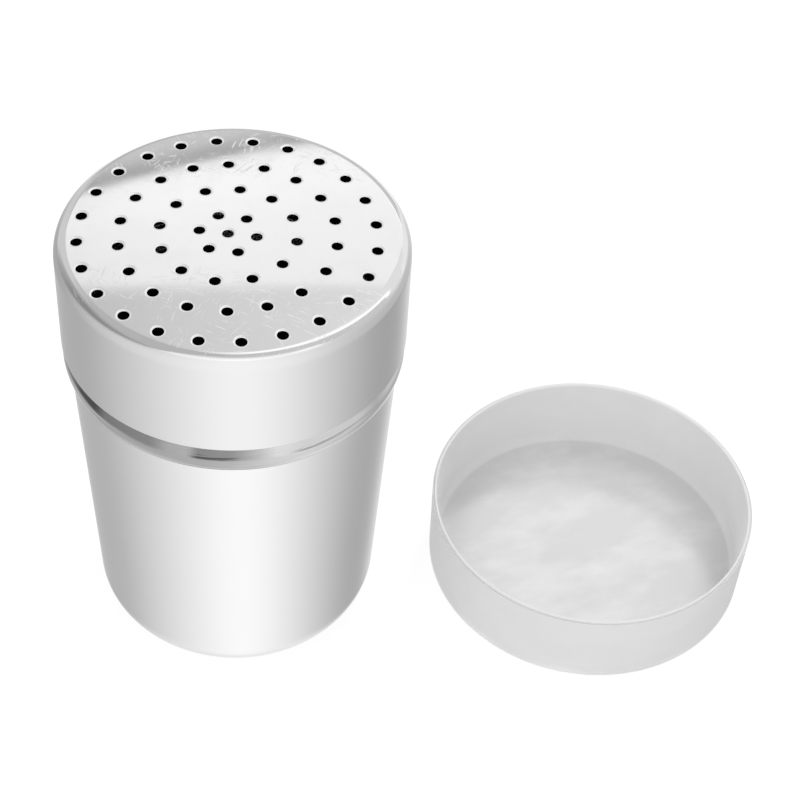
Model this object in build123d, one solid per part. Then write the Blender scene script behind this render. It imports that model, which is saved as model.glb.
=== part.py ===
"""Steel spice shaker: a drawn cup, a perforated push-on lid and a moulded dust cap.

Millimetres, +Z up. The origin is the middle of the cup's foot, on the table. The lid sits on the
cup, and the dust cap lies beside it with its open side up. Sections are drawn on XZ as radius
and height, and are turned round Z.
"""

import math
import os

from build123d import *

# Lid, pressed from sheet
LID_RADIUS = 35.0
LID_SHEET = 0.5
LID_DEPTH = 25.1  # lower edge of the skirt to the middle of the top panel
LID_CROWN = 1.0  # rise of the panel from its shoulder to its middle
LID_SHOULDER = 3.0  # outside rounding between skirt and panel

# Perforation: a hole in the middle and rings round it, each hole punched down into a dimple
HOLE_RINGS = 4
HOLES_PER_RING = 6  # in the first ring, and this many more in each next one
HOLE_FIRST_RADIUS = 5.65
HOLE_RING_PITCH = 7.87
HOLE_TURN = -4.1  # degrees from +X to the first hole of each ring
PUNCH_SHIFT_X = -1.0  # the punch stands a little off the lid's middle
PUNCH_SHIFT_Y = -0.7
PUNCH_DRIFT = 2.0  # degrees that its turn strays by in the outer ring, and less further in
PUNCH_DRIFT_TURN = 11.0  # degrees from a ring's first hole to where it is furthest ahead
HOLE_DIAMETER = 2.3
DIMPLE_FLARE = 0.5  # radial, from the hole to the dimple's edge
DIMPLE_DEPTH = 0.65
DIMPLE_SHEET = 0.3  # the sheet is drawn thinner here

# Cup, drawn from sheet. Its radii are set in from the lid's.
CUP_SHEET = 0.6
BODY_INSET = 1.43  # lid's radius to the body's, under the stop bead
BODY_HEIGHT = 70.7  # table to the foot of the stop bead
BODY_TAPER = 3.45  # what the body's radius loses on the way down
BASE_CORNER = 9.0
FOOT_WIDTH = 2.3  # the ring that the cup stands on, inside the corner
FOOT_SLOPE = 1.6  # radial width of the step up to the recessed middle
FOOT_RECESS = 0.8
FOOT_ROUND = 1.2

# Stop bead and the groove over it, under the edge of the lid
BEAD_HEIGHT = 6.55
BEAD_REACH = 1.85  # from the body to the sharp crest that the section rounds off
BEAD_CREST_SHARE = 0.48  # of the bead's height, from below
BEAD_SECTION = 4.5  # radius of the bead's section
BEAD_FOOT_ROUND = 1.2
GROOVE_DEPTH = 0.6
GROOVE_RISE = 0.9
GROOVE_ROUND = 0.9

# Mouth of the cup, drawn in a little so that the lid finds it
RIM_TAPER = 1.0
RIM_TAPER_HEIGHT = 3.0
RIM_LAND = 1.5  # straight again up to the cut edge
RIM_ROUND = 3.0

# How the lid sits on the cup
LID_FIT = 0.08  # radial, neck in skirt
SEAT_GAP = 0.05  # cup's rim under the inside of the lid's shoulder
LID_STANDOFF = 0.45  # lid's lower edge over the middle of the groove

# Dust cap, moulded
CAP_WALL = 0.9
CAP_HEIGHT = 20.2
CAP_FIT = 0.1  # radial, lid in the closed end of the cap
CAP_DRAFT = 1.0  # degrees
CAP_CORNER = 2.0  # outside, round the closed end
CAP_FLOOR_CORNER = 4.0  # inside, between floor and wall

# Where the cap lies
CAP_GAP = 9.2  # clear of the lid
CAP_BEARING = 8.0  # degrees from +X

# Radii and heights that follow
neck_radius = LID_RADIUS - LID_SHEET - LID_FIT
body_radius = LID_RADIUS - BODY_INSET
base_radius = body_radius - BODY_TAPER
groove_height = BODY_HEIGHT + BEAD_HEIGHT
lid_edge_height = groove_height + LID_STANDOFF
lid_height = lid_edge_height + LID_DEPTH
shoulder_height = lid_height - LID_CROWN
panel_radius = LID_RADIUS - LID_SHOULDER
crown_radius = (panel_radius**2 + LID_CROWN**2) / (2 * LID_CROWN)
crown_middle = lid_height - crown_radius
shoulder_middle = crown_middle + math.sqrt((crown_radius - LID_SHOULDER)**2 - panel_radius**2)
rim_radius = neck_radius - RIM_TAPER
rim_reach = max(rim_radius - panel_radius, 0)
seat_height = shoulder_middle + math.sqrt((LID_SHOULDER - LID_SHEET)**2 - rim_reach**2)
rim_height = seat_height - SEAT_GAP
cap_base_radius = LID_RADIUS + CAP_FIT + CAP_WALL
cap_mouth_radius = cap_base_radius + CAP_HEIGHT * math.tan(math.radians(CAP_DRAFT))


def thickened(corners, sheet):
    """Closed section of a sheet of even thickness whose outside runs through corners.

    Each corner is radius, height and rounding. The sheet lies to the left of the way they run.
    Inside corners get concentric roundings.
    """
    points = [Vector(radius, height) for radius, height, _ in corners]
    ways = [(end - start).normalized() for start, end in zip(points, points[1:])]
    inside = []
    for number, (point, corner) in enumerate(zip(points, corners)):
        before = ways[max(number - 1, 0)]
        after = ways[min(number, len(ways) - 1)]
        middle = (before + after).normalized()
        to_left = Vector(-middle.Y, middle.X)
        place = point + to_left * (sheet / middle.dot(after))
        turn = before.X * after.Y - before.Y * after.X
        change = math.copysign(sheet, -turn) if turn else 0
        inside.append((place.X, place.Y, corner[2] + change))
    return corners + inside[::-1]


def turned(section):
    """Solid of a closed section, turned round Z."""
    outline = FilletPolyline(
        *[(radius, 0, height) for radius, height, _ in section],
        radius=[rounding for _, _, rounding in section],
        close=True,
    )
    return revolve(make_face(outline), Axis.Z)


def shaker_cup():
    """Recessed base, tapered body, stop bead, groove and the neck that carries the lid."""
    foot_radius = base_radius - BASE_CORNER - FOOT_WIDTH
    crest_height = BODY_HEIGHT + BEAD_CREST_SHARE * BEAD_HEIGHT
    land_height = rim_height - RIM_LAND
    corners = [
        (0, FOOT_RECESS, 0),
        (foot_radius - FOOT_SLOPE, FOOT_RECESS, FOOT_ROUND),
        (foot_radius, 0, FOOT_ROUND),
        (base_radius, 0, BASE_CORNER),
        (body_radius, BODY_HEIGHT, BEAD_FOOT_ROUND),
        (body_radius + BEAD_REACH, crest_height, BEAD_SECTION),
        (neck_radius - GROOVE_DEPTH, groove_height, GROOVE_ROUND),
        (neck_radius, groove_height + GROOVE_RISE, GROOVE_ROUND),
        (neck_radius, land_height - RIM_TAPER_HEIGHT, RIM_ROUND),
        (rim_radius, land_height, RIM_ROUND),
        (rim_radius, rim_height, 0),
    ]
    return turned(thickened(corners, CUP_SHEET))


def on_panel(place):
    """The same place, moved up on to the crowned top of the lid."""
    radius = math.hypot(place.position.X, place.position.Y)
    drop = crown_radius - math.sqrt(crown_radius**2 - radius**2)
    return Pos(0, 0, lid_height - drop) * place


def hole_places():
    """Middle of each hole on the lid's top surface."""
    polar = [(0, 0)]
    for ring in range(HOLE_RINGS):
        count = HOLES_PER_RING * (ring + 1)
        radius = HOLE_FIRST_RADIUS + HOLE_RING_PITCH * ring
        drift = PUNCH_DRIFT * (ring + 1) / HOLE_RINGS
        for hole in range(count):
            turn = 360 * hole / count
            ahead = drift * math.cos(math.radians(turn - PUNCH_DRIFT_TURN))
            polar.append((radius, HOLE_TURN + turn + ahead))
    pattern = [Rot(0, 0, angle) * Pos(radius, 0, 0) for radius, angle in polar]
    return [on_panel(Pos(PUNCH_SHIFT_X, PUNCH_SHIFT_Y, 0) * place) for place in pattern]


def funnel(bottom_radius, top, bottom):
    """Cone as steep as a dimple's side, from one depth under the lid's top surface to another."""
    spread = DIMPLE_FLARE / DIMPLE_DEPTH
    middle = Pos(0, 0, -(top + bottom) / 2)
    return middle * Cone(bottom_radius, bottom_radius + spread * (bottom - top), bottom - top)


def crowned_slug(sheet):
    """Round slug as high as the lid, with a rounded shoulder under a crowned end.

    It is smaller than the lid's outside by sheet all round. The ball that gives the crown lies
    on its side, which keeps its poles off the panel.
    """
    radius = LID_RADIUS - sheet
    ball = Pos(0, 0, crown_middle) * Rot(90, 0, 0) * Sphere(crown_radius - sheet)
    stretch = (crown_radius - sheet) / (crown_radius - LID_SHOULDER)
    touch = panel_radius * stretch
    touch_height = crown_middle + (shoulder_middle - crown_middle) * stretch
    shoulder = TangentArc(
        (radius, 0, shoulder_middle), (touch, 0, touch_height), tangent=(0, 0, 1)
    )
    rest = Polyline(
        (touch, 0, touch_height),
        (touch, 0, lid_height + LID_CROWN),
        (0, 0, lid_height + LID_CROWN),
        (0, 0, lid_edge_height),
        (radius, 0, lid_edge_height),
        (radius, 0, shoulder_middle),
    )
    return revolve(make_face([shoulder, rest]), Axis.Z) & ball


def perforated_lid():
    """Crowned panel, rounded shoulder and straight skirt, punched from above into dimples."""
    hole_radius = HOLE_DIAMETER / 2
    sideways = DIMPLE_SHEET * math.hypot(DIMPLE_FLARE, DIMPLE_DEPTH) / DIMPLE_DEPTH
    drawn_metal = funnel(hole_radius + sideways, LID_SHEET / 2, DIMPLE_DEPTH)
    punch = funnel(hole_radius, -DIMPLE_DEPTH, DIMPLE_DEPTH)
    places = hole_places()
    lid = crowned_slug(0) - crowned_slug(LID_SHEET)
    lid += [place * drawn_metal for place in places]
    lid -= [place * punch for place in places]
    return lid


def dust_cap():
    """Round tray of even wall, thicker in the floor's corner, lying on its closed end."""
    corners = [
        (0, 0, 0),
        (cap_base_radius, 0, CAP_CORNER),
        (cap_mouth_radius, CAP_HEIGHT, 0),
    ]
    section = thickened(corners, CAP_WALL)
    radius, height, _ = section[4]
    section[4] = (radius, height, CAP_FLOOR_CORNER)
    distance = LID_RADIUS + CAP_GAP + cap_mouth_radius
    bearing = math.radians(CAP_BEARING)
    place = Pos(distance * math.cos(bearing), distance * math.sin(bearing), 0)
    return place * turned(section)


os.makedirs("parts", exist_ok=True)
export_step(shaker_cup(), "parts/shaker_cup.step")
export_step(perforated_lid(), "parts/perforated_lid.step")
export_step(dust_cap(), "parts/dust_cap.step")
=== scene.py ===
# %% [markdown]
# A steel spice shaker with a perforated push-on lid, and its plastic dust cap lying beside it.
# The measured frame of the object is loaded first. Everything made below is placed in that
# frame, in metres, and each finished piece takes the place of one plain part of the frame.

import math

import bmesh
import bpy
from mathutils import Matrix, Vector
from mathutils.kdtree import KDTree


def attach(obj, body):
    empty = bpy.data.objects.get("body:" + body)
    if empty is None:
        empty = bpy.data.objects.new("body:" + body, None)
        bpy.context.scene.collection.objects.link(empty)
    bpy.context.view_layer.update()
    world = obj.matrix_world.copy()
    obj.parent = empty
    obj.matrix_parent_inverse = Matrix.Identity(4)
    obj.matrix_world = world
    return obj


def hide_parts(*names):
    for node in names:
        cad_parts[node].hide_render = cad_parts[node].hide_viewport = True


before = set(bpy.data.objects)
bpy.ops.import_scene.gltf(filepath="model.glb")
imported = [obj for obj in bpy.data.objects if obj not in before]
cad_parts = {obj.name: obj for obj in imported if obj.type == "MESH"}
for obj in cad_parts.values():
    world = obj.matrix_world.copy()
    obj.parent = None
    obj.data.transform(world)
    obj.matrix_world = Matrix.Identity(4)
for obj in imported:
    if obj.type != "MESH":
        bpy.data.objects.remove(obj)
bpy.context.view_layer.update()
scene = bpy.context.scene
scene.view_settings.view_transform = "Standard"
MM = 0.001
print("parts of the frame:", sorted(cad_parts))

# %% [markdown]
# Round sheet-metal and moulded pieces are all drawn the same way: a section is drawn once, as
# radius and height in millimetres, and turned round an axis. These helpers draw a section. Long
# straight runs get a few extra points near their ends, so that smooth shading doesn't bend the
# flat wall next to a tight rounding. On mirror-like metal that would show at once.


# %% Section helpers
def arc(middle, radius, start, end, step=7.5):
    """Points of an arc in the section, angles in degrees from outwards (0) to up (90)."""
    count = max(2, math.ceil(abs(end - start) / step))
    angles = [math.radians(start + (end - start) * i / count) for i in range(count + 1)]
    return [(middle[0] + radius * math.cos(a), middle[1] + radius * math.sin(a)) for a in angles]


def rounded(corners, step=7.5):
    """Points of a line through corners, each given as radius, height and rounding."""
    points = []
    for number, (across, up, rounding) in enumerate(corners):
        here = Vector((across, up))
        if rounding <= 0 or number in (0, len(corners) - 1):
            points.append(here)
            continue
        back = (Vector(corners[number - 1][:2]) - here).normalized()
        on = (Vector(corners[number + 1][:2]) - here).normalized()
        half = back.angle(on) / 2
        middle = here + (back + on).normalized() * (rounding / math.sin(half))
        first = here + back * (rounding / math.tan(half)) - middle
        turn = math.pi - 2 * half
        way = 1 if first.x * on.y - first.y * on.x > 0 else -1
        count = max(2, math.ceil(math.degrees(turn) / step))
        for i in range(count + 1):
            points.append(middle + Matrix.Rotation(way * turn * i / count, 2) @ first)
    return points


def supported(points, reach=0.12, longest=4.0):
    """The same line with points added near both ends of each long run, and along it."""
    line = [Vector(points[0])]
    for point in points[1:]:
        point, last = Vector(point), line[-1]
        run = (point - last).length
        if run > 4 * reach:
            pieces = max(1, math.ceil(run / longest))
            shares = [reach / run] + [i / pieces for i in range(1, pieces)] + [1 - reach / run]
            line += [last.lerp(point, share) for share in sorted(shares)]
        line.append(point)
    return line


def sheet_section(corners, sheet):
    """Corners of both sides of a sheet: given along its outside, the sheet lies to the left."""
    places = [Vector(corner[:2]) for corner in corners]
    ways = [(end - start).normalized() for start, end in zip(places, places[1:])]
    inside = []
    for number, (place, corner) in enumerate(zip(places, corners)):
        before, after = ways[max(number - 1, 0)], ways[min(number, len(ways) - 1)]
        middle = (before + after).normalized()
        point = place + Vector((-middle.y, middle.x)) * (sheet / middle.dot(after))
        turn = before.x * after.y - before.y * after.x
        inside.append((point.x, point.y, corner[2] + (math.copysign(sheet, -turn) if turn else 0)))
    return corners + inside[::-1]


print("an arc of 90 degrees has", len(arc((0, 0), 1, 0, 90)), "points")

# %% [markdown]
# Turning a section is a job for Geometry Nodes: one tree serves every round piece. It reads a
# section made of loose edges, sweeps it round a circle, welds the points that meet on the axis,
# and sets the material. Its inputs are the number of steps round the axis, the radius of the
# guide circle and the material.


# %% A tree that turns a section
AXIS_WELD = 2e-6  # metres
GEOMETRY = ("Geometry", "Geometry")  # label and type of the socket for what a tree works on


def new_tree(kind, name, inputs, output):
    """An empty tree whose sockets are given as label and type, and the ends of those sockets."""
    tree = bpy.data.node_groups.new(name, kind + "NodeTree")
    for way, sockets in (("INPUT", inputs), ("OUTPUT", [output])):
        for label, carries in sockets:
            tree.interface.new_socket(label, in_out=way, socket_type="NodeSocket" + carries)
    return tree, tree.nodes.new("NodeGroupInput").outputs, tree.nodes.new("NodeGroupOutput").inputs


def add(tree, kind, links=None, **settings):
    """A node with its settings, and its inputs linked to sockets or set to values."""
    node = tree.nodes.new(kind)
    for name, value in settings.items():
        setattr(node, name, value)
    for socket, value in (links or {}).items():
        if isinstance(value, bpy.types.NodeSocket):
            tree.links.new(value, node.inputs[socket])
        else:
            node.inputs[socket].default_value = value
    return node


def step(tree, kind, links=None, **settings):
    """The first output of a new geometry node."""
    return add(tree, "GeometryNode" + kind, links, **settings).outputs[0]


def sum_of(tree, operation, *values):
    """Output of a Math node, for sockets or numbers."""
    return add(tree, "ShaderNodeMath", dict(enumerate(values)), operation=operation).outputs[0]


def product(tree, first, *others):
    """Product of sockets or numbers."""
    for other in others:
        first = sum_of(tree, "MULTIPLY", first, other)
    return first


def parts_of(tree, vector):
    """X, Y and Z of a vector."""
    return add(tree, "ShaderNodeSeparateXYZ", {0: vector}).outputs


def finished(tree, geometry, given, result):
    """Ends a tree: smooth shading, real geometry and the material."""
    smooth = step(tree, "SetShadeSmooth", {"Geometry": geometry})
    whole = step(tree, "RealizeInstances", {"Geometry": smooth})
    made = step(tree, "SetMaterial", {"Geometry": whole, "Material": given["Finish"]})
    tree.links.new(made, result[0])
    print("tree:", tree.name, "with", len(tree.nodes), "nodes")


turning_inputs = [GEOMETRY, ("Steps", "Int"), ("Guide radius", "Float"), ("Finish", "Material")]
turning, given, result = new_tree("Geometry", "Turned section", turning_inputs, GEOMETRY)
line = step(turning, "MeshToCurve", {"Mesh": given["Geometry"]})
place = step(turning, "InputPosition")
parts = parts_of(turning, place)
inward = sum_of(turning, "SUBTRACT", parts["X"], given["Guide radius"])
downward = product(turning, parts["Z"], -1.0)
flat = add(turning, "ShaderNodeCombineXYZ", {"X": inward, "Y": downward}).outputs[0]
laid = step(turning, "SetPosition", {"Geometry": line, "Position": flat})
size = {"Resolution": given["Steps"], "Radius": given["Guide radius"]}
guide = step(turning, "CurvePrimitiveCircle", size)
swept = step(turning, "CurveToMesh", {"Curve": guide, "Profile Curve": laid})
welded = step(turning, "MergeByDistance", {"Geometry": swept, "Distance": AXIS_WELD})
finished(turning, welded, given, result)


# %% Turn a section into a piece
GUIDE_RADIUS = 35  # any will do, because the tree takes it off again


def set_inputs(modifier, values):
    """Sets a geometry modifier's inputs by their names, through each socket's identifier."""
    for item in modifier.node_group.interface.items_tree:
        if item.item_type == "SOCKET" and item.in_out == "INPUT" and item.name in values:
            modifier[item.identifier] = values[item.name]


def grown(name, mesh, tree, values):
    """Runs a tree on a mesh and returns a plain mesh that holds only the result."""
    seed = bpy.data.objects.new(name + " seed", mesh)
    scene.collection.objects.link(seed)
    modifier = seed.modifiers.new("Tree", "NODES")
    tree.is_modifier = True
    modifier.node_group = tree
    set_inputs(modifier, values)
    depsgraph = bpy.context.evaluated_depsgraph_get()
    made = bpy.data.meshes.new_from_object(
        seed.evaluated_get(depsgraph), preserve_all_data_layers=True, depsgraph=depsgraph
    )
    made.name = name
    bpy.data.objects.remove(seed)
    return made


def turned(name, points, steps, finish):
    """A plain mesh of a section turned round Z."""
    section = bpy.data.meshes.new(name + " section")
    edges = [(i, i + 1) for i in range(len(points) - 1)]
    section.from_pydata([(x * MM, 0, z * MM) for x, z in points], edges, [])
    values = {"Steps": steps, "Guide radius": GUIDE_RADIUS * MM, "Finish": finish}
    return grown(name, section, turning, values)


def face_outwards(mesh):
    """Turns every face of a closed mesh outwards, going by the sign of its volume."""
    mesh.calc_loop_triangles()
    corners = [[mesh.vertices[i].co for i in triangle.vertices] for triangle in mesh.loop_triangles]
    volume = sum(a.dot(b.cross(c)) for a, b, c in corners) / 6
    if volume < 0:
        mesh.flip_normals()
    print(mesh.name, "holds", round(abs(volume) * 1e9), "cubic mm in", len(corners), "triangles")


def paint_zones(mesh, finishes, zone):
    """Gives the mesh these materials, and each face the one whose number zone(face) returns."""
    mesh.materials.clear()
    for finish in finishes:
        mesh.materials.append(finish)
    for face in mesh.polygons:
        face.material_index = zone(face)


def show(mesh, body, node):
    """Puts a mesh into the scene as the piece that stands for one part of the frame."""
    piece = bpy.data.objects.new(mesh.name.replace(" ", "_"), mesh)
    scene.collection.objects.link(piece)
    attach(piece, body)
    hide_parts(node)
    return piece


# %% [markdown]
# Steel next. Drawn stainless steel is one metal with several finishes here. The walls were
# brushed while the piece spun, so fine lines run round them and a reflection smears along the
# height of the wall: that is what Anisotropic does. The panel is nearly a mirror, and carries
# scratches from handling. Lines and scratches are shader groups, so that any finish can use them.


# %% Shader helpers
def new_group(name, given, result):
    """An empty shader group with one input and one output, both plain numbers."""
    return new_tree("Shader", name, [(given, "Float")], (result, "Float"))


def ranged(tree, value, low, high, to_low=0.0, to_high=1.0):
    """Output of a Map Range node: to_low where the value is low, to_high where it is high."""
    values = {0: value, 1: low, 2: high, 3: to_low, 4: to_high}
    return add(tree, "ShaderNodeMapRange", values).outputs[0]


def by_degrees(tree, value, low, high, *levels):
    """The same for an angle in radians, with its low and high given in degrees."""
    return ranged(tree, value, math.radians(low), math.radians(high), *levels)


def surface_place(tree):
    """Place on the surface, in the object's own coordinates."""
    return add(tree, "ShaderNodeTexCoord").outputs["Object"]


def blend(tree, share, start, end):
    """Level between two others."""
    return add(tree, "ShaderNodeMix", {0: share, 2: start, 3: end}).outputs[0]


def noise(tree, vector, scale, detail=2.0, roughness=0.5):
    """Factor of a Noise Texture node."""
    values = {"Vector": vector, "Scale": scale, "Detail": detail, "Roughness": roughness}
    return add(tree, "ShaderNodeTexNoise", values).outputs[0]


ALL_ROUND = (-180, 180)  # degrees, the range of a bearing: 0 in front, positive to the right
OVER_THE_TOP = (0, 180)  # degrees, from the horizon behind, over the top, to the one in front


def ramp(tree, value, stops, low=0.0, high=1.0):
    """Level between stops, each given as place and level. A value of 0 to 1 spans low to high."""
    node = add(tree, "ShaderNodeValToRGB", {0: value})
    elements = node.color_ramp.elements
    while len(elements) < len(stops):
        elements.new(0.5)
    for element, (place, level) in zip(elements, stops):
        element.position = (place - low) / (high - low)
        element.color = (level, level, level, 1)
    return node.outputs[0]


def bearing_of(tree, parts):
    """Angle round Z, in radians: 0 in front, positive to the right."""
    return sum_of(tree, "ARCTAN2", parts["X"], product(tree, parts["Y"], -1.0))


def stretched(tree, vector, turn, stretch, location=0.0):
    """Coordinates for a pattern drawn out this many times along one way, in degrees from X."""
    mapping = add(tree, "ShaderNodeMapping", {"Vector": vector}, vector_type="TEXTURE")
    mapping.inputs["Location"].default_value = (location, 0, 0)
    mapping.inputs["Rotation"].default_value = (0, 0, math.radians(turn))
    mapping.inputs["Scale"].default_value = (stretch, 1.0, 1.0)
    return mapping.outputs[0]


# %% Group: lines left by turning
lines_group, given, result = new_group("Turned lines", "Lines per metre", "Lines")
parts = parts_of(lines_group, surface_place(lines_group))
along = sum_of(lines_group, "ARCTAN2", parts["Y"], parts["X"])
height = product(lines_group, parts["Z"], given["Lines per metre"])
vector = add(lines_group, "ShaderNodeCombineXYZ", {0: along, 1: height}).outputs[0]
lines_group.links.new(noise(lines_group, vector, 1.0, 3.0, 0.6), result["Lines"])

# %% Group: scratches from handling
SCRATCH_TURNS = (12.0, 55.0, -25.0, 80.0, -60.0)  # degrees, the ways that they mostly run
SCRATCH_STRETCH = 11.0  # how much longer than wide
SCRATCH_PATCHES = 90.0  # noise scale of the patches that they come in
scratch_group, given, result = new_group("Scratches", "Fineness", "Scratches")
where = surface_place(scratch_group)
total = 0.0
for turn in SCRATCH_TURNS:
    drawn_out = stretched(scratch_group, where, turn, SCRATCH_STRETCH, turn)
    fine = noise(scratch_group, drawn_out, given["Fineness"], 1.0)
    patch = noise(scratch_group, where, SCRATCH_PATCHES + turn, 1.0)
    thin = ranged(scratch_group, fine, 0.65, 0.74)
    share = product(scratch_group, thin, ranged(scratch_group, patch, 0.48, 0.60))
    total = sum_of(scratch_group, "MAXIMUM", total, share)
across = parts_of(scratch_group, where)["Y"]
front = ranged(scratch_group, across, -9 * MM, -15 * MM)
back = ranged(scratch_group, across, 12 * MM, 19 * MM, 0.0, 0.8)
handled = sum_of(scratch_group, "MAXIMUM", front, back)
scratch_group.links.new(product(scratch_group, total, handled), result["Scratches"])
print("groups:", lines_group.name, "and", scratch_group.name)

# %% [markdown]
# A finish is a material with one Principled BSDF. Numbers that are the same all over sit on the
# shader's own sockets. Only what changes over the surface comes through nodes: here the
# roughness, a faint change of tone, and a bump a few thousandths of a millimetre deep.


# %% Steel finishes
def new_finish(name, values):
    """A material with only a Principled BSDF, which has these values, and its output."""
    material = bpy.data.materials.new(name)
    material.use_nodes = True
    shader = material.node_tree.nodes["Principled BSDF"]
    for socket, value in values.items():
        shader.inputs[socket].default_value = value
    return material, material.node_tree, shader


def with_group(tree, group, values):
    """Output of a shader group placed in a material."""
    node = tree.nodes.new("ShaderNodeGroup")
    node.node_tree = group
    for name, value in values.items():
        node.inputs[name].default_value = value
    return node.outputs[0]


def bumped(tree, shader, height, depth_mm):
    """Feeds a height of 0 to 1 to the shader as a bump of this depth."""
    values = {"Height": height, "Strength": 1.0, "Distance": depth_mm * MM}
    bump = add(tree, "ShaderNodeBump", values)
    tree.links.new(bump.outputs[0], shader.inputs["Normal"])


def grey(tree, value, low, high):
    """A grey colour between two levels."""
    level = ranged(tree, value, 0.0, 1.0, low, high)
    return add(tree, "ShaderNodeCombineColor", {0: level, 1: level, 2: level}).outputs[0]


NOISE_CORE = (0.3, 0.7)  # a noise texture's level is seldom outside this
BRUSHING = {"Lines per metre": 9000.0}
BRUSHED_ROUGHNESS_STRAY, BRUSHED_TONE_STRAY = 0.004, 0.01


def brushed_steel(name, roughness, anisotropy, tone):
    """Steel brushed round the axis."""
    material, tree, shader = new_finish(name, {"Metallic": 1.0, "Anisotropic": anisotropy})
    lines = with_group(tree, lines_group, BRUSHING)
    smoothest, roughest = roughness - BRUSHED_ROUGHNESS_STRAY, roughness + BRUSHED_ROUGHNESS_STRAY
    rough = ranged(tree, lines, *NOISE_CORE, smoothest, roughest)
    tree.links.new(rough, shader.inputs["Roughness"])
    clouds = noise(tree, surface_place(tree), 45.0, 2.0)
    tones = grey(tree, clouds, tone - BRUSHED_TONE_STRAY, tone + BRUSHED_TONE_STRAY)
    tree.links.new(tones, shader.inputs["Base Color"])
    return material


SCRATCHING = {"Fineness": 2600.0}
SCRATCH_ROUGHNESS = 0.35  # what a scratch adds
SMUDGE_ROUGHNESS, SMUDGE_TONE = 0.04, -0.03  # what a smudge adds


def bright_steel(name, roughness, tone, scratch_depth, wave_depth):
    """Steel that is nearly a mirror, faintly wavy, with scratches and smudges."""
    material, tree, shader = new_finish(name, {"Metallic": 1.0})
    scratches = with_group(tree, scratch_group, SCRATCHING)
    where = surface_place(tree)
    smudges = ranged(tree, noise(tree, where, 130.0, 4.0, 0.65), 0.45, 0.75)
    waves = noise(tree, where, 70.0, 1.0)
    rough = ranged(tree, smudges, 0.0, 1.0, roughness, roughness + SMUDGE_ROUGHNESS)
    rougher = sum_of(tree, "MULTIPLY_ADD", scratches, SCRATCH_ROUGHNESS, rough)
    tree.links.new(rougher, shader.inputs["Roughness"])
    level = ranged(tree, smudges, 0.0, 1.0, tone, tone + SMUDGE_TONE)
    level = sum_of(tree, "MULTIPLY_ADD", scratches, 1.0 - tone, level)
    tree.links.new(grey(tree, level, 0.0, 1.0), shader.inputs["Base Color"])
    deep = product(tree, scratches, scratch_depth / wave_depth)
    bumped(tree, shader, sum_of(tree, "SUBTRACT", waves, deep), wave_depth)
    return material


# %% [markdown]
# The stop bead is polished steel too. Its colour carries painted reflections: dark and light tones
# by bearing that stand in for what its flanks mirror, one list for the upper flank and one for the
# lower. The line between the two wanders a little, and lies higher on the left. A thin painted dark
# line of reflection runs just over it, and painted shade darkens its foot, most of all in front.

# %% The bead's finish
BEAD_UPPER_PAINTED_REFLECTION = [  # painted reflection: tone of the bead's upper flank, by bearing
    (-180, 0.6), (-100, 0.8), (-76, 0.78), (-66, 0.5), (-60, 0.34), (-55, 0.16), (-46, 0.12),
    (-41, 0.3), (-22, 0.3), (-16, 0.46), (-9, 0.46), (-6, 0.26), (5, 0.27), (9, 0.36), (14, 0.5),
    (20, 0.74), (30, 0.74), (40, 0.88), (50, 1.0), (60, 0.75), (68, 0.95), (110, 0.9), (180, 0.6),
]
BEAD_LOWER_PAINTED_REFLECTION = [  # painted reflection: the same for its lower flank
    (-180, 0.62), (-100, 0.8), (-62, 0.9), (-48, 0.82), (-30, 0.6), (-20, 0.5), (-5, 0.43),
    (5, 0.44), (12, 0.52), (20, 0.68), (30, 0.82), (45, 1.0), (80, 1.0), (180, 0.62),
]
BEAD_PAINTED_DARK_LINE = [  # how clearly a painted dark line of reflection shows along the crest
    (-180, 0), (-9, 0), (-6, 0.7), (5, 0.6), (8, 0), (23, 0), (28, 0.45), (42, 0.35), (50, 0.3),
    (60, 0), (180, 0),
]
BEAD_CREST_HEIGHT = 74.6  # where the two flanks' tones meet
BEAD_LEFT_RISE = 0.65  # so much higher on the left
BEAD_LINE_RISE = 0.45  # the painted dark line over it
BEAD_FOOT_HEIGHT = 71.4  # painted shade makes it a little darker below this
BEAD_FOOT_PAINTED_SHADE, BEAD_FRONT_PAINTED_SHADE = 0.84, 0.8  # factors of painted shade there, and there in front


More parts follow.
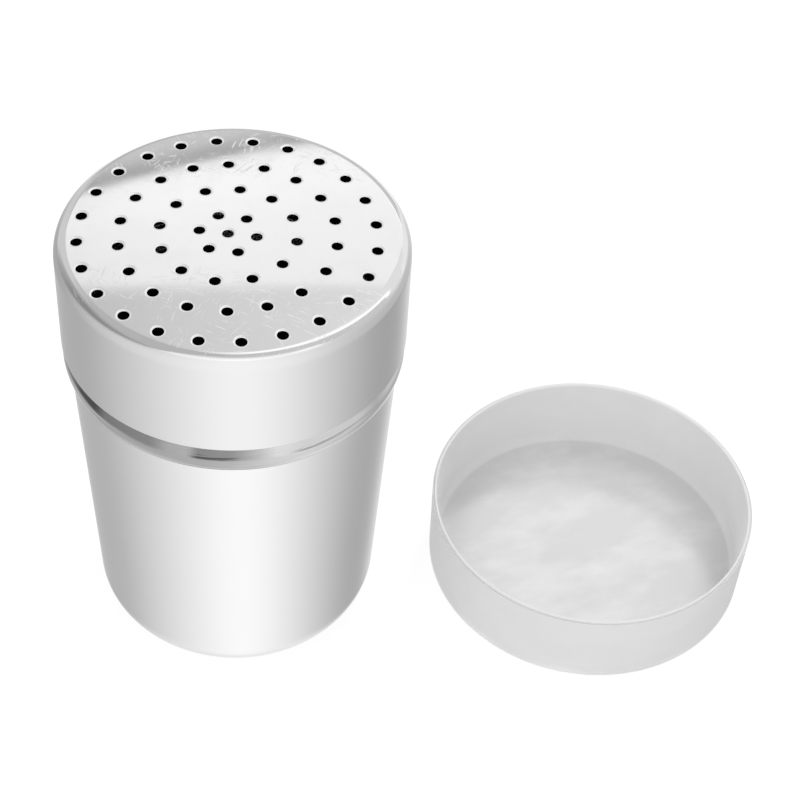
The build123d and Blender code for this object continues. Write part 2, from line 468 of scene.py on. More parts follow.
def painted_reflection_steel(name, roughness):
    """Polished steel for the bead, with painted reflections and painted shade in its colour, uneven
    round the axis.
    """
    material, tree, shader = new_finish(name, {"Metallic": 1.0, "Roughness": roughness})
    parts = parts_of(tree, surface_place(tree))
    angle = bearing_of(tree, parts)
    bearing = ranged(tree, angle, -math.pi, math.pi)
    off_front = sum_of(tree, "ABSOLUTE", angle)
    before_seam = by_degrees(tree, off_front, 140, 178, 1.0, 0.0)

    height = product(tree, parts["Z"], 1 / MM)
    vector = add(tree, "ShaderNodeCombineXYZ", {0: angle, 1: height}).outputs[0]
    # streaks that break up the painted reflections and make their border wander
    reflection_streaks = sum_of(tree, "SUBTRACT", noise(tree, vector, 2.2, 4.0, 0.65), 0.5)
    reflection_streaks = sum_of(tree, "MULTIPLY_ADD", reflection_streaks, before_seam, 0.5)
    height = sum_of(tree, "ADD", height, ranged(tree, reflection_streaks, *NOISE_CORE, -0.5, 0.5))

    rise = product(tree, by_degrees(tree, angle, -25, -60, 0.0, BEAD_LEFT_RISE), before_seam)
    above = sum_of(tree, "SUBTRACT", height, rise)
    over = ranged(tree, above, BEAD_CREST_HEIGHT - 0.35, BEAD_CREST_HEIGHT + 0.15)
    # painted reflections: a tone by bearing for each flank, blended at the crest
    upper = ramp(tree, bearing, BEAD_UPPER_PAINTED_REFLECTION, *ALL_ROUND)
    lower = ramp(tree, bearing, BEAD_LOWER_PAINTED_REFLECTION, *ALL_ROUND)
    tone = blend(tree, over, lower, upper)

    # painted reflection: a thin dark line just over the crest, at some bearings
    off_line = sum_of(tree, "SUBTRACT", height, BEAD_CREST_HEIGHT + BEAD_LINE_RISE)
    near_line = ranged(tree, sum_of(tree, "ABSOLUTE", off_line), 0.1, 0.35, 1.0, 0.0)
    line = product(tree, ramp(tree, bearing, BEAD_PAINTED_DARK_LINE, *ALL_ROUND), near_line)
    beside_line = sum_of(tree, "SUBTRACT", 1.0, line)
    uneven = ranged(tree, reflection_streaks, *NOISE_CORE, 0.93, 1.05)

    # painted shade along the bead's foot, deeper in front
    foot = ranged(tree, height, BEAD_FOOT_HEIGHT, BEAD_FOOT_HEIGHT + 0.7, BEAD_FOOT_PAINTED_SHADE, 1.0)
    aside = by_degrees(tree, off_front, 12, 24)
    over_foot = ranged(tree, height, BEAD_FOOT_HEIGHT - 0.1, BEAD_FOOT_HEIGHT + 0.5)
    off_painted_shade = sum_of(tree, "MAXIMUM", aside, over_foot)
    front_painted_shade = ranged(tree, off_painted_shade, 0.0, 1.0, BEAD_FRONT_PAINTED_SHADE, 1.0)
    tone = product(tree, tone, beside_line, uneven, foot, front_painted_shade)
    tree.links.new(grey(tree, tone, 0.0, 1.0), shader.inputs["Base Color"])
    return material


# %% The finishes of steel
wall_steel = brushed_steel("Brushed steel", 0.28, 0.6, 0.94)
skirt_steel = brushed_steel("Brushed steel of the lid", 0.28, 0.6, 0.875)
# painted shade: the inside is the walls' steel at a far darker tone
shaded_inner_steel = brushed_steel("Drawn steel inside with painted shade", 0.34, 0.3, 0.3)
panel_steel = bright_steel("Bright steel panel", 0.045, 0.93, 0.002, 0.012)
# painted highlight: a pale, half-metallic finish on the rim of each hole
rim_highlight_paint = {"Metallic": 0.5, "Roughness": 0.25, "Base Color": (1, 1, 1, 1)}
rim_highlight_steel = new_finish("Rim of a hole with painted highlight", rim_highlight_paint)[0]
bead_painted_steel = painted_reflection_steel("Polished steel bead", 0.12)
print("finishes:", [material.name for material in bpy.data.materials])

# %% [markdown]
# The cup is drawn from one round of sheet: a recessed foot, a wide base corner, a tapered wall,
# and near the top a stop bead that the lid comes down to. Over the bead is a shallow groove,
# and then a plain neck, drawn in a little at its mouth. Only the outside is drawn here: the
# inside follows at the thickness of the sheet, and the cut edge gets its small roundings.

# %% The cup
CUP_SHEET, CUP_STEPS = 0.6, 256
FOOT_INNER, FOOT_OUTER, FOOT_RECESS, FOOT_ROUND = 17.22, 18.82, 0.8, 1.2
BODY_RADIUS, BASE_RADIUS, BASE_CORNER = 33.57, 30.12, 9.0
BODY_HEIGHT, BEAD_HEIGHT = 70.7, 6.55
BEAD_CREST = (35.42, 73.84)  # the sharp crest that the bead's section rounds off
BEAD_SECTION, BEAD_FOOT_ROUND = 4.5, 1.2
GROOVE_DEPTH, GROOVE_RISE, GROOVE_ROUND = 0.6, 0.9, 0.9
GROOVE_HEIGHT = BODY_HEIGHT + BEAD_HEIGHT
NECK_RADIUS, MOUTH_RADIUS, MOUTH_ROUND = 34.42, 33.42, 3.0
NECK_END, MOUTH_START, CUP_HEIGHT = 96.3, 99.3, 100.8
EDGE_SHARE = 0.4  # rounding of a cut edge, as a share of the sheet

cup_corners = [
    (0, FOOT_RECESS, 0),
    (FOOT_INNER, FOOT_RECESS, FOOT_ROUND),
    (FOOT_OUTER, 0, FOOT_ROUND),
    (BASE_RADIUS, 0, BASE_CORNER),
    (BODY_RADIUS, BODY_HEIGHT, BEAD_FOOT_ROUND),
    (*BEAD_CREST, BEAD_SECTION),
    (NECK_RADIUS - GROOVE_DEPTH, GROOVE_HEIGHT, GROOVE_ROUND),
    (NECK_RADIUS, GROOVE_HEIGHT + GROOVE_RISE, GROOVE_ROUND),
    (NECK_RADIUS, NECK_END, MOUTH_ROUND),
    (MOUTH_RADIUS, MOUTH_START, MOUTH_ROUND),
    (MOUTH_RADIUS, CUP_HEIGHT, EDGE_SHARE * CUP_SHEET),
]
cup_section = supported(rounded(sheet_section(cup_corners, CUP_SHEET), 5.0))
cup_mesh = turned("Shaker cup", cup_section, CUP_STEPS, wall_steel)
face_outwards(cup_mesh)


def cup_zone(face):
    """0 on the outer wall and the neck, 1 on the bead and groove, 2 inside."""
    outward = face.normal.xy.dot(face.center.xy) > 0
    height = face.center.z / MM
    if height > BODY_HEIGHT and outward:
        return 1 if height < GROOVE_HEIGHT + 1.0 else 0
    if height < BASE_CORNER + 3.0:
        return 2 if face.normal.z > 0.01 else 0
    wall = BASE_RADIUS + (BODY_RADIUS - BASE_RADIUS) * height / BODY_HEIGHT - CUP_SHEET / 2
    inside = face.center.xy.length / MM < wall and not outward
    return 2 if inside else 0


paint_zones(cup_mesh, [wall_steel, bead_painted_steel, shaded_inner_steel], cup_zone)
show(cup_mesh, "cup", "shaker_cup")

# %% [markdown]
# The lid's panel is crowned by a millimetre and punched with 61 holes, one in the middle and
# four rings round it. Each hole sits in a dimple that the punch has drawn down. These dimples
# catch the light, so they get real shape and not a painted pattern. One dimple is drawn first,
# as a small open ring of sheet with the lip of the hole in its middle. Its slope starts at
# nothing, so that it leaves the flat panel without a crease. It settles to a shallow flare, and
# then turns down sharply into the lip.

# %% One dimple
LID_SHEET = 0.5
HOLE_RADIUS, DIMPLE_RADIUS = 1.13, 1.6
DIMPLE_LIP = 84.0  # degrees, slope of the sheet at the hole
DIMPLE_FLARE = 15.0  # degrees, slope of the shallow part round it
FLARE_SHARE, LIP_POWER = 0.3, 5  # of the way in where the flare is reached; how late the lip turns
DIMPLE_STEPS = 28
LIP_SHEET = 0.3  # the sheet is drawn thinner here


def dimple_section(count=14):
    """Points of one dimple's sheet: its top from outside to the lip, then its underside."""
    shares = [i / count for i in range(count + 1)]
    slopes = []
    for share in shares:
        eased = min(share / FLARE_SHARE, 1)
        flare = DIMPLE_FLARE * eased * eased * (3 - 2 * eased)
        slopes.append(math.radians(flare + (DIMPLE_LIP - DIMPLE_FLARE) * share**LIP_POWER))
    runs = [(math.cos((a + b) / 2), -math.sin((a + b) / 2)) for a, b in zip(slopes, slopes[1:])]
    stride = (DIMPLE_RADIUS - HOLE_RADIUS) / sum(run[0] for run in runs)
    top = [Vector((DIMPLE_RADIUS, 0))]
    for across, down in runs:
        top.append(top[-1] + stride * Vector((-across, down)))
    under = []
    for point, share, slope in zip(top, shares, slopes):
        sheet = LID_SHEET + (LIP_SHEET - LID_SHEET) * share
        under.append(point + sheet * Vector((math.sin(slope), -math.cos(slope))))
    middle = (top[-1] + under[-1]) / 2
    lip = arc(middle, LIP_SHEET / 2, 90 + DIMPLE_LIP, 270 + DIMPLE_LIP, 36)
    print("a dimple is", round(-top[-1].y, 2), "mm deep")
    return top + lip[1:-1] + under[::-1]


dimple = turned("Dimple", dimple_section(), DIMPLE_STEPS, panel_steel)

# %% [markdown]
# The holes follow a rule, so a Geometry Nodes tree places them: a Repeat zone adds one ring of
# points on each pass, each with six more holes and one pitch wider. The punch's turn strays a
# little as it goes round, and more so further out: that is the Drift. The tree puts a dimple on
# every point, fills the two flat sides of the sheet between the dimples and the panel's edge, and
# then lifts everything on to the crown. A boolean would cut the holes too, but it leaves ragged
# faces that show in shiny steel.


# %% Tree for the perforated panel
def circle(tree, steps, radius):
    """A curve circle."""
    return step(tree, "CurvePrimitiveCircle", {"Resolution": steps, "Radius": radius})


def joined(tree, *geometries):
    """Several geometries in one."""
    node = tree.nodes.new("GeometryNodeJoinGeometry")
    for geometry in geometries:
        tree.links.new(geometry, node.inputs[0])
    return node.outputs[0]


SEAM_WELD = 1e-5  # metres, for the panel's own seams and its seam to the shoulder
panel_inputs = {
    "Int": ["Rings", "Holes per ring", "Dimple steps", "Panel steps"],
    "Float": [
        *("First radius", "Ring pitch", "Turn", "Drift", "Drift turn", "Shift X", "Shift Y"),
        *("Dimple radius", "Sheet", "Top radius", "Under radius", "Crown radius", "Height"),
    ],
    "Material": ["Finish"],
}
panel_inputs = [(label, kind) for kind in panel_inputs for label in panel_inputs[kind]]
panel_inputs = [GEOMETRY, *panel_inputs]
punching, given, result = new_tree("Geometry", "Perforated panel", panel_inputs, GEOMETRY)
again = punching.nodes.new("GeometryNodeRepeatInput")
passed = punching.nodes.new("GeometryNodeRepeatOutput")
again.pair_with_output(passed)
punching.links.new(given["Rings"], again.inputs["Iterations"])
before = again.outputs["Iteration"]
ring = sum_of(punching, "ADD", before, 1.0)
count = product(punching, ring, given["Holes per ring"])
reach = sum_of(punching, "MULTIPLY_ADD", before, given["Ring pitch"], given["First radius"])
ring_points = step(punching, "MeshCircle", {"Vertices": count, "Radius": reach})
spot = step(punching, "InputPosition")
parts = parts_of(punching, spot)
round_axis = sum_of(punching, "ARCTAN2", parts["Y"], parts["X"])
from_most = sum_of(punching, "SUBTRACT", round_axis, given["Drift turn"])
from_most = sum_of(punching, "COSINE", from_most)
outwards = sum_of(punching, "DIVIDE", ring, given["Rings"])
ahead = product(punching, given["Drift"], outwards, from_most)
strayed = add(punching, "ShaderNodeVectorRotate", {"Vector": spot, "Angle": ahead}).outputs[0]
ring_points = step(punching, "SetPosition", {"Geometry": ring_points, "Position": strayed})
so_far = joined(punching, again.outputs["Geometry"], ring_points)
punching.links.new(so_far, passed.inputs["Geometry"])
rings = passed.outputs["Geometry"]

middle = step(punching, "Points", {"Count": 1})
turn = add(punching, "ShaderNodeCombineXYZ", {"Z": given["Turn"]}).outputs[0]
shift = {"X": given["Shift X"], "Y": given["Shift Y"]}
shift = add(punching, "ShaderNodeCombineXYZ", shift).outputs[0]
ring_points = step(punching, "MeshToPoints", {"Mesh": rings})
pattern = joined(punching, middle, ring_points)
moved = {"Geometry": pattern, "Translation": shift, "Rotation": turn}
pattern = step(punching, "Transform", moved)

brim = circle(punching, given["Dimple steps"], given["Dimple radius"])
punched = {"Points": pattern, "Instance": given["Geometry"]}
dimples = step(punching, "InstanceOnPoints", punched)
openings = step(punching, "InstanceOnPoints", {"Points": pattern, "Instance": brim})
openings = step(punching, "RealizeInstances", {"Geometry": openings})
sides = []
for edge, level in (("Top radius", None), ("Under radius", given["Sheet"])):
    outline = circle(punching, given["Panel steps"], given[edge])
    side = step(punching, "FillCurve", {"Curve": joined(punching, outline, openings)})
    if level:
        drop = add(punching, "ShaderNodeCombineXYZ", {"Z": product(punching, level, -1.0)})
        side = step(punching, "Transform", {"Geometry": side, "Translation": drop.outputs[0]})
    sides.append(side)
whole = step(punching, "RealizeInstances", {"Geometry": joined(punching, dimples, *sides)})

parts = parts_of(punching, step(punching, "InputPosition"))
across = sum_of(punching, "POWER", parts["X"], 2.0)
across = sum_of(punching, "MULTIPLY_ADD", parts["Y"], parts["Y"], across)
ball = sum_of(punching, "POWER", given["Crown radius"], 2.0)
rise = sum_of(punching, "SQRT", sum_of(punching, "SUBTRACT", ball, across))
rise = sum_of(punching, "SUBTRACT", rise, given["Crown radius"])
rise = sum_of(punching, "ADD", rise, given["Height"])
lift = add(punching, "ShaderNodeCombineXYZ", {"Z": rise}).outputs[0]
crowned = step(punching, "SetPosition", {"Geometry": whole, "Offset": lift})
welded = step(punching, "MergeByDistance", {"Geometry": crowned, "Distance": SEAM_WELD})
finished(punching, welded, given, result)

# %% [markdown]
# The shoulder and the skirt are turned like the cup, with as many steps round the axis as the
# panel's edge has, so that the two can be welded point to point. In the flat triangles between
# the dimples, averaged normals would flicker. So their corners get the exact normals of the
# crown's ball instead, and a reflection runs over them smoothly.

# %% The lid
LID_RADIUS, LID_HEIGHT, LID_EDGE = 35.0, 102.8, 77.7
LID_CROWN, LID_SHOULDER = 1.0, 3.0
LID_STEPS = 256
HOLE_RINGS, HOLES_PER_RING = 4, 6  # each ring has this many holes more than the last
FIRST_RADIUS, RING_PITCH = 5.65, 7.87
HOLE_TURN, DRIFT, DRIFT_TURN = math.radians(-4.1), math.radians(2.0), math.radians(11.0)
PUNCH_SHIFT = (-1.0, -0.7)
panel_reach = LID_RADIUS - LID_SHOULDER
crown_radius = (panel_reach**2 + LID_CROWN**2) / (2 * LID_CROWN)
crown_middle = LID_HEIGHT - crown_radius
shoulder_middle = crown_middle + math.sqrt((crown_radius - LID_SHOULDER) ** 2 - panel_reach**2)


def touch(sheet):
    """Radius and height at which the shoulder's arc leaves the crown, this far inside."""
    stretch = (crown_radius - sheet) / (crown_radius - LID_SHOULDER)
    return panel_reach * stretch, crown_middle + (shoulder_middle - crown_middle) * stretch


tilt = math.degrees(math.asin(panel_reach / (crown_radius - LID_SHOULDER)))
shoulder = (panel_reach, shoulder_middle)
edge_round = EDGE_SHARE * LID_SHEET
skirt_edge = rounded(
    [
        (LID_RADIUS, shoulder_middle, 0),
        (LID_RADIUS, LID_EDGE, edge_round),
        (LID_RADIUS - LID_SHEET, LID_EDGE, edge_round),
        (LID_RADIUS - LID_SHEET, shoulder_middle, 0),
    ],
    18,
)
skirt_section = (
    arc(shoulder, LID_SHOULDER, 90 - tilt, 0, 5)[:-1]
    + supported(skirt_edge)
    + arc(shoulder, LID_SHOULDER - LID_SHEET, 0, 90 - tilt, 5)[1:]
)
skirt = turned("Lid skirt", skirt_section, LID_STEPS, skirt_steel)
panel = grown(
    "Lid panel",
    dimple,
    punching,
    {
        "Rings": HOLE_RINGS,
        "Holes per ring": HOLES_PER_RING,
        "First radius": FIRST_RADIUS * MM,
        "Ring pitch": RING_PITCH * MM,
        "Turn": HOLE_TURN,
        "Drift": DRIFT,
        "Drift turn": DRIFT_TURN,
        "Shift X": PUNCH_SHIFT[0] * MM,
        "Shift Y": PUNCH_SHIFT[1] * MM,
        "Dimple radius": DIMPLE_RADIUS * MM,
        "Dimple steps": DIMPLE_STEPS,
        "Sheet": LID_SHEET * MM,
        "Top radius": touch(0)[0] * MM,
        "Under radius": touch(LID_SHEET)[0] * MM,
        "Panel steps": LID_STEPS,
        "Crown radius": crown_radius * MM,
        "Height": LID_HEIGHT * MM,
        "Finish": panel_steel,
    },
)


def welded_mesh(name, meshes):
    """One closed mesh from several that meet point to point."""
    whole = bmesh.new()
    for mesh in meshes:
        whole.from_mesh(mesh)
    bmesh.ops.remove_doubles(whole, verts=whole.verts, dist=SEAM_WELD)
    bmesh.ops.recalc_face_normals(whole, faces=whole.faces)
    open_edges = sum(not edge.is_manifold for edge in whole.edges)
    made = bpy.data.meshes.new(name)
    whole.to_mesh(made)
    whole.free()
    print(name, "has", open_edges, "open edges")
    return made


lid_mesh = welded_mesh("Perforated lid", [skirt, panel])
face_outwards(lid_mesh)

# %% [markdown]
# The lid has four finishes: brushed on the skirt, bright on the panel and most of its shoulder,
# dull inside and darkened there as painted shade, and a pale painted highlight on the rim of each
# hole. To tell the rims, the holes' places are worked out once more by the same rule, and each face
# asks for the hole nearest to it.

# %% The lid's finishes
RIM_RADIUS = 1.46  # round each hole, as far as the painted highlight reaches
SHOULDER_SPLIT = math.sin(math.radians(48))  # the skirt's finish reaches this far up

hole_places = [Vector(PUNCH_SHIFT)]
for ring in range(1, HOLE_RINGS + 1):
    reach = FIRST_RADIUS + RING_PITCH * (ring - 1)
    for hole in range(HOLES_PER_RING * ring):
        turn = math.radians(360 * hole / (HOLES_PER_RING * ring))
        way = turn + DRIFT * ring / HOLE_RINGS * math.cos(turn - DRIFT_TURN) + HOLE_TURN
        hole_places.append(hole_places[0] + reach * Vector((math.cos(way), math.sin(way))))
hole_tree = KDTree(len(hole_places))
for number, spot in enumerate(hole_places):
    hole_tree.insert((spot.x, spot.y, 0), number)
hole_tree.balance()
print("holes:", len(hole_places))


def lid_zone(face):
    """0 on the skirt, 1 on the panel and its shoulder, 2 inside, 3 on the rims of the holes."""
    middle = face.center / MM
    across = middle.xy.length
    outward = face.normal.xy.dot(face.center.xy) > 0
    if across > touch(0)[0]:
        if not outward and face.normal.z > -0.5:
            return 2
        return 1 if outward and face.normal.z > SHOULDER_SPLIT else 0
    if face.normal.z < -0.2:
        return 2
    from_hole = hole_tree.find((middle.x, middle.y, 0))[2]
    return 3 if from_hole < RIM_RADIUS else 1


paint_zones(lid_mesh, [skirt_steel, panel_steel, shaded_inner_steel, rim_highlight_steel], lid_zone)
for face in lid_mesh.polygons:
    face.use_smooth = True
normals = [vertex.normal.copy() for vertex in lid_mesh.vertices]
ball_middle = Vector((0, 0, crown_middle * MM))
for face in lid_mesh.polygons:
    if len(face.vertices) == 3:
        side = 1 if face.normal.z > 0 else -1
        for i in face.vertices:
            normals[i] = side * (lid_mesh.vertices[i].co - ball_middle).normalized()
lid_mesh.normals_split_custom_set_from_vertices(normals)
show(lid_mesh, "lid", "perforated_lid")

# %% [markdown]
# The dust cap is a moulded tray of milky plastic, lying beside the cup on its closed end. Light
# goes a little way into such plastic before it comes out again, which softens its edges: that is
# what Subsurface does, with a scale of a millimetre or two. Its faint clouds feed the base colour
# and the roughness. They are partly the plastic's own mottling and partly a painted reflection of a
# bright window on the tray's floor, and towards the front they are lifted as painted light. The
# corner round the floor carries painted shade, and the cut rim a painted highlight.


# %% The cap's plastic
CAP_WALL, CAP_HEIGHT = 0.9, 20.2
CAP_BASE_RADIUS, CAP_MOUTH_RADIUS = 36.0, 36.35
CAP_PLACE = Vector((79.77, 11.21, 0)) * MM
CLOUD_TURN, CLOUD_STRETCH, CLOUD_SCALE = 20.0, 1.9, 80.0
CLOUDS_ON_WALL = 0.25  # the floor's are as strong as they come
PAINTED_FRONT_LIGHT = 0.6  # painted light, added to the clouds towards the front
PLASTIC = {
    "Subsurface Weight": 0.35,
    "Subsurface Radius": (1.0, 0.95, 0.9),
    "Subsurface Scale": 1.5 * MM,
    "IOR": 1.48,
}
PLASTIC_TONES, PLASTIC_ROUGHNESSES = (0.815, 0.94), (0.4, 0.48)  # without and with a cloud
PAINTED_CORNER_SHADE = 0.1  # painted shade, taken off in the floor's outer part
PAINTED_RIM_HIGHLIGHT, RIM_ROUGHNESS = 0.12, 0.3  # added on the cut rim: the tone as a painted highlight, and roughness


def cloudy_plastic(name, middle):
    """White plastic with faint clouds, partly painted reflection, lighter towards the front as
    painted light, with painted shade in the corner round its middle and a painted highlight on the
    rim.
    """
    material, tree, shader = new_finish(name, PLASTIC)
    where = surface_place(tree)
    parts = parts_of(tree, where)
    height = parts["Z"]

    # clouds: partly the plastic's own mottling, partly a painted reflection on the floor
    drawn_out = stretched(tree, where, CLOUD_TURN, CLOUD_STRETCH)
    clouds = ranged(tree, noise(tree, drawn_out, CLOUD_SCALE, 5.0, 0.62), 0.42, 0.72, -0.2, 1.0)
    # painted light: the clouds grow brighter towards the front
    painted_light_span = middle.y + 5 * MM, middle.y - 25 * MM
    clouds = sum_of(tree, "ADD", clouds, ranged(tree, parts["Y"], *painted_light_span, 0.0, PAINTED_FRONT_LIGHT))
    clouds = product(tree, clouds, ranged(tree, height, 1.5 * MM, 3.5 * MM, 1.0, CLOUDS_ON_WALL))
    tone = ranged(tree, clouds, 0.0, 1.0, *PLASTIC_TONES)
    rough = ranged(tree, clouds, 0.0, 1.0, *PLASTIC_ROUGHNESSES)

    # painted shade: darker in the corner round the tray's floor
    from_middle = add(tree, "ShaderNodeVectorMath", {0: where, 1: middle}, operation="SUBTRACT")
    flat = {0: from_middle.outputs[0], 1: (1, 1, 0)}
    flat = add(tree, "ShaderNodeVectorMath", flat, operation="MULTIPLY").outputs[0]
    across = add(tree, "ShaderNodeVectorMath", {0: flat}, operation="LENGTH").outputs["Value"]
    outer = ranged(tree, across, 26 * MM, 31.5 * MM)
    within = ranged(tree, across, 34.6 * MM, 34.8 * MM, 1.0, 0.0)
    low = ranged(tree, height, 1.9 * MM, 2.3 * MM, PAINTED_CORNER_SHADE, 0.0)
    tone = sum_of(tree, "SUBTRACT", tone, product(tree, outer, within, low))

    # painted highlight: a lighter tone on the cut rim, which is also rougher
    at_rim = ranged(tree, height, 19.4 * MM, 19.8 * MM)
    tone = sum_of(tree, "MULTIPLY_ADD", at_rim, PAINTED_RIM_HIGHLIGHT, tone)
    rough = sum_of(tree, "MULTIPLY_ADD", at_rim, RIM_ROUGHNESS, rough)
    tree.links.new(grey(tree, tone, 0.0, 1.0), shader.inputs["Base Color"])
    tree.links.new(rough, shader.inputs["Roughness"])
    return material


cap_plastic = cloudy_plastic("Milky plastic", CAP_PLACE)
print("plastic:", cap_plastic.name)

# %% The dust cap
CAP_CORNER, CAP_FLOOR_CORNER, CAP_EDGE_ROUND = 2.0, 4.0, 0.4
CAP_STEPS = 192
cap_corners = [
    (0, 0, 0),
    (CAP_BASE_RADIUS, 0, CAP_CORNER),
    (CAP_MOUTH_RADIUS, CAP_HEIGHT, CAP_EDGE_ROUND),
    (CAP_MOUTH_RADIUS - CAP_WALL, CAP_HEIGHT, CAP_EDGE_ROUND),
    (CAP_BASE_RADIUS - CAP_WALL, CAP_WALL, CAP_FLOOR_CORNER),
    (0, CAP_WALL, 0),
]
cap_mesh = turned("Dust cap", supported(rounded(cap_corners)), CAP_STEPS, cap_plastic)
face_outwards(cap_mesh)
cap_mesh.transform(Matrix.Translation(CAP_PLACE))
cap = show(cap_mesh, "cap", "dust_cap")
cap.visible_glossy = False  # the cup's side stays plain, without the cap's reflection in it

# %% [markdown]
# The set is a plain white one: an endless floor, and soft light from all round. What polished
# metal looks like is decided by what it mirrors, so the world has two sides to it. For diffuse
# light it's an even grey. For mirror reflections it is a light tent, given as lists of levels.
# Below is a pale floor that gets darker towards the sides and bright again at the back. Its hem
# is hung highest in front. Over the top, from the back to the front, come a greyer sheet that
# gets brighter as it rises, a seam, a bright strip, a grey middle with a long lamp on its right,
# and a bright front. Darker sheets hang at the left and at the right.

# %% The light tent's levels
TENT_FLOOR = [  # by bearing: 0 is in front, positive to the right
    (-180, 1.0), (-162, 1.0), (-150, 0.6), (-136, 0.48), (-104, 0.45), (-85, 0.56), (-61, 0.7),
    (-40, 0.82), (-20, 0.94), (0, 1.06), (18, 1.06), (38, 0.95), (59, 0.77), (82, 0.59), (110, 0.4),
    (136, 0.4), (150, 0.6), (162, 1.0), (180, 1.0),
]
TENT_UNDER = [  # straight below, where the table is nearest
    (-180, 0.85), (-90, 0.8), (-45, 0.9), (0, 1.04), (18, 1.04), (45, 0.95), (90, 0.85),
    (180, 0.85),
]
TENT_FAR = [  # the floor's far end
    (-180, 1.0), (-162, 1.0), (-150, 0.6), (-136, 0.46), (-104, 0.44), (-85, 0.55), (-61, 0.71),
    (-40, 0.82), (-20, 0.94), (0, 1.06), (18, 1.06), (38, 0.95), (59, 0.76), (80, 0.58),
    (105, 0.53), (130, 0.58), (150, 0.7), (162, 1.0), (180, 1.0),
]
TENT_HEM = [  # how far up the floor's cloth is hung, by bearing
    (-180, 0.0), (-110, 0.04), (-90, 0.26), (-78, 0.37), (-62, 0.47), (-50, 0.74), (-15, 0.88),
    (0, 0.9), (15, 0.88), (40, 0.78), (55, 0.68), (75, 0.4), (100, 0.1), (125, 0.0), (180, 0.0),
]
TENT_ROOF = [  # over the top
    (0, 0.5), (20, 0.58), (29.6, 0.62), (30.5, 0.5), (31.1, 0.4), (31.9, 0.4), (32.3, 1.0),
    (36, 0.99), (40, 0.945), (45.9, 0.91), (46.8, 0.64), (56, 0.66), (63, 0.66), (74, 0.6),
    (80, 0.56), (86, 0.54), (96, 0.55), (103, 0.65), (112, 0.92), (118, 1.02), (180, 1.02),
]
TENT_MIDDLE = [(0, 0), (45.9, 0), (46.8, 1), (60, 1), (70, 0), (180, 0)]  # where it gets uneven
TENT_LAMP = [(0, 0), (58, 0), (64, 1), (74, 1), (81, 0), (180, 0)]  # where the long lamp shines
TENT_LEFT = [  # the left side, by height
    (0, 0.26), (0.5, 0.26), (0.6, 0.28), (0.66, 0.34), (0.72, 0.4), (0.78, 0.47), (1, 0.49),
]
# Where each side hangs in front of the roof, and the left one's far part, by bearing
TENT_LEFT_PLACE = [(-180, 0), (-158, 0), (-152, 1), (-50, 1), (-42, 0), (180, 0)]
TENT_FAR_LEFT_PLACE = [(-180, 1), (-130, 1), (-122, 0.4), (-112, 0.2), (-106, 0), (180, 0)]
TENT_RIGHT_PLACE = [(-180, 0), (66, 0), (72, 1), (112, 1), (118, 0), (180, 0)]
# How far the front of the roof leans over, from the middle to the right
TENT_LEAN = [(0, 0), (0.4, 0), (0.5, 0.13), (0.6, 0.33), (0.7, 0.73), (0.8, 0.93), (1, 1)]
RIGHT_LEVEL, LAMP_LEVEL, WINDOW_LEVEL = 0.61, 1.1, 0.85
DIFFUSE_LEVEL, SEEN_LEVEL = 0.74, 1.0  # of the world as diffuse light, and straight to the eye
print("levels all round:", len(TENT_FLOOR), "and over the top:", len(TENT_ROOF))


# %% The light tent's three parts
def tent_below(tree, parts, bearing):
    """The floor, with its far end and what lies straight below blended into it."""
    level = ramp(tree, bearing, TENT_FLOOR, *ALL_ROUND)
    far = ramp(tree, bearing, TENT_FAR, *ALL_ROUND)
    under = ramp(tree, bearing, TENT_UNDER, *ALL_ROUND)
    level = blend(tree, ranged(tree, parts["Z"], -0.62, -0.5), level, far)
    return blend(tree, ranged(tree, parts["Z"], -0.83, -0.95), level, under)


def tent_roof(tree, parts):
    """The roof: bands that run from side to side, leaning a little, and the long lamp."""
    over = sum_of(tree, "ARCTAN2", parts["Z"], parts["Y"])
    aside = sum_of(tree, "MAXIMUM", parts["X"], by_degrees(tree, over, 38, 45, -0.4, -0.08))
    slant = by_degrees(tree, over, 38, 44, math.radians(25), math.radians(9))
    low_lean = product(tree, aside, slant)
    high_lean = product(tree, ramp(tree, parts["X"], TENT_LEAN), math.radians(30))
    lean = blend(tree, by_degrees(tree, over, 48, 57), low_lean, high_lean)
    over = ranged(tree, sum_of(tree, "ADD", over, lean), 0.0, math.pi)

    level = ramp(tree, over, TENT_ROOF, *OVER_THE_TOP)
    uneven = ranged(tree, parts["X"], -0.25, 0.1, 0.57, 0.78)
    level = blend(tree, ramp(tree, over, TENT_MIDDLE, *OVER_THE_TOP), level, uneven)
    level = product(tree, level, ranged(tree, parts["X"], -0.28, -0.14, 0.92, 1.0))
    lamp = ramp(tree, over, TENT_LAMP, *OVER_THE_TOP)
    lamp = product(tree, lamp, ranged(tree, parts["X"], -0.14, 0.0))
    return blend(tree, lamp, level, LAMP_LEVEL)


def tent_sides(tree, parts, bearing, roof):
    """The roof with the right and left sides and a bright window at the far right before it."""
    level = blend(tree, ramp(tree, bearing, TENT_RIGHT_PLACE, *ALL_ROUND), roof, RIGHT_LEVEL)
    far_left = ranged(tree, parts["Z"], 0.68, 0.78, 0.63, 0.48)
    far_share = ramp(tree, bearing, TENT_FAR_LEFT_PLACE, *ALL_ROUND)
    left = blend(tree, far_share, ramp(tree, parts["Z"], TENT_LEFT), far_left)
    level = blend(tree, ramp(tree, bearing, TENT_LEFT_PLACE, *ALL_ROUND), level, left)
    beside = ranged(tree, parts["X"], 0.38, 0.44)
    behind = ranged(tree, parts["Y"], 0.6, 0.66)
    low = ranged(tree, parts["Z"], 0.46, 0.52, 1.0, 0.0)
    return blend(tree, product(tree, beside, behind, low), level, WINDOW_LEVEL)


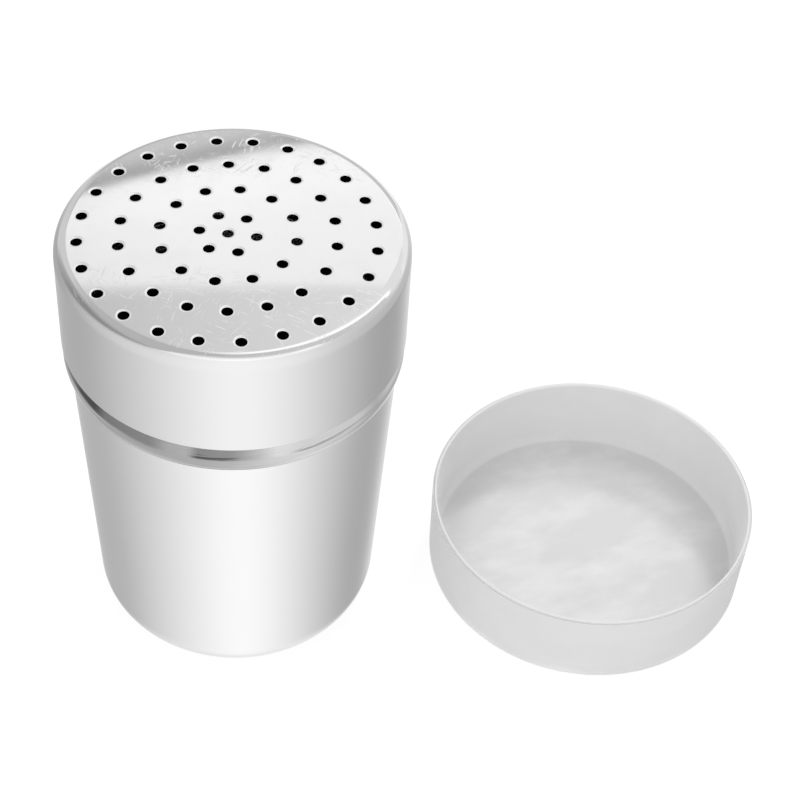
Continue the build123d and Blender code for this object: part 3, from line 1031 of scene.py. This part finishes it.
# %% The world
world = bpy.data.worlds.new("Light tent")
scene.world = world
world.use_nodes = True
tree = world.node_tree
parts = parts_of(tree, add(tree, "ShaderNodeTexCoord").outputs["Generated"])
bearing = ranged(tree, bearing_of(tree, parts), -math.pi, math.pi)
below = tent_below(tree, parts, bearing)
above = tent_sides(tree, parts, bearing, tent_roof(tree, parts))
clear = sum_of(tree, "SUBTRACT", parts["Z"], ramp(tree, bearing, TENT_HEM, *ALL_ROUND))
tent = blend(tree, ranged(tree, clear, -0.03, 0.03), below, above)
path = tree.nodes.new("ShaderNodeLightPath").outputs
seen = sum_of(tree, "MAXIMUM", path["Is Camera Ray"], path["Is Transmission Ray"])
level = blend(tree, path["Is Glossy Ray"], DIFFUSE_LEVEL, tent)
background = tree.nodes["Background"]
background.inputs["Color"].default_value = (1, 1, 1, 1)
tree.links.new(blend(tree, seen, level, SEEN_LEVEL), background.inputs["Strength"])
print("world:", world.name, "with", len(tree.nodes), "nodes")

# %% [markdown]
# Two soft lamps shape the plastic: one behind on the right, for the shadow inside the cap, and
# one in front. Neither is mirrored in the steel, and neither is the floor.


# %% Lamps and floor
def soft_lamp(name, place, aim, size, power):
    """A square lamp that shines on diffuse surfaces, and isn't mirrored."""
    lamp = bpy.data.lights.new(name, "AREA")
    lamp.size = size
    lamp.energy = power
    holder = bpy.data.objects.new(name, lamp)
    holder.location = place
    holder.rotation_euler = (Vector(aim) - Vector(place)).to_track_quat("-Z", "Y").to_euler()
    holder.visible_glossy = False
    holder.visible_camera = False
    scene.collection.objects.link(holder)


soft_lamp("Key lamp", (0.3, 0.71, 0.82), (0.08, 0.01, 0.01), 0.16, 2.3)
soft_lamp("Fill lamp", (-0.3, -0.9, 0.6), (0.05, 0, 0.05), 0.8, 1.8)

FAR, FLOOR_DROP = 3, 0.0002  # the drop keeps the floor clear of what stands on it
PAPER = {"Base Color": (0.3, 0.3, 0.3, 1), "Roughness": 1.0, "Emission Color": (1, 1, 1, 1)}
PAPER_GLOW, PAPER_GLOW_SEEN = 0.45, 0.78  # for the light it gives, and as the camera sees it
floor_mesh = bpy.data.meshes.new("Floor")
floor_corners = [(-FAR, -FAR, 0), (FAR, -FAR, 0), (FAR, FAR, 0), (-FAR, FAR, 0)]
floor_mesh.from_pydata(floor_corners, [], [(0, 1, 2, 3)])
floor = bpy.data.objects.new("Floor", floor_mesh)
floor.location.z = -FLOOR_DROP
floor.visible_glossy = False
scene.collection.objects.link(floor)
paper, tree, shader = new_finish("White paper", PAPER)
seen = tree.nodes.new("ShaderNodeLightPath").outputs["Is Camera Ray"]
glow = ranged(tree, seen, 0.0, 1.0, PAPER_GLOW, PAPER_GLOW_SEEN)
tree.links.new(glow, shader.inputs["Emission Strength"])
floor_mesh.materials.append(paper)
print("lamps:", [lamp.name for lamp in bpy.data.lights])

# %% [markdown]
# The camera looks down at 46 degrees from straight in front of the cup, tilted by 4 degrees, at
# a focal length of 92 mm on a 36 mm sensor. Its axes are worked out from those two angles.

# %% The camera
CAMERA_PLACE = (0.0346, -0.29852, 0.3684)
LOOK_DOWN, ROLL = math.radians(46.037), math.radians(-4.05)
FOCAL_LENGTH, SENSOR_WIDTH, NEAREST_SEEN = 92.2275, 36.0, 0.01
forward = Vector((0, math.cos(LOOK_DOWN), -math.sin(LOOK_DOWN)))
level_right = Vector((1, 0, 0))
level_down = Vector((0, -math.sin(LOOK_DOWN), -math.cos(LOOK_DOWN)))
right = math.cos(ROLL) * level_right + math.sin(ROLL) * level_down
down = -math.sin(ROLL) * level_right + math.cos(ROLL) * level_down
lens = bpy.data.cameras.new("Camera")
lens.sensor_width, lens.lens, lens.clip_start = SENSOR_WIDTH, FOCAL_LENGTH, NEAREST_SEEN
camera = bpy.data.objects.new("Camera", lens)
axes = Matrix((right, -down, -forward)).transposed()
camera.matrix_world = Matrix.Translation(CAMERA_PLACE) @ axes.to_4x4()
scene.collection.objects.link(camera)
scene.camera = camera
print("camera at", CAMERA_PLACE)

# %% Remove the meshes that were only steps on the way
for mesh in (dimple, skirt, panel):
    bpy.data.meshes.remove(mesh)
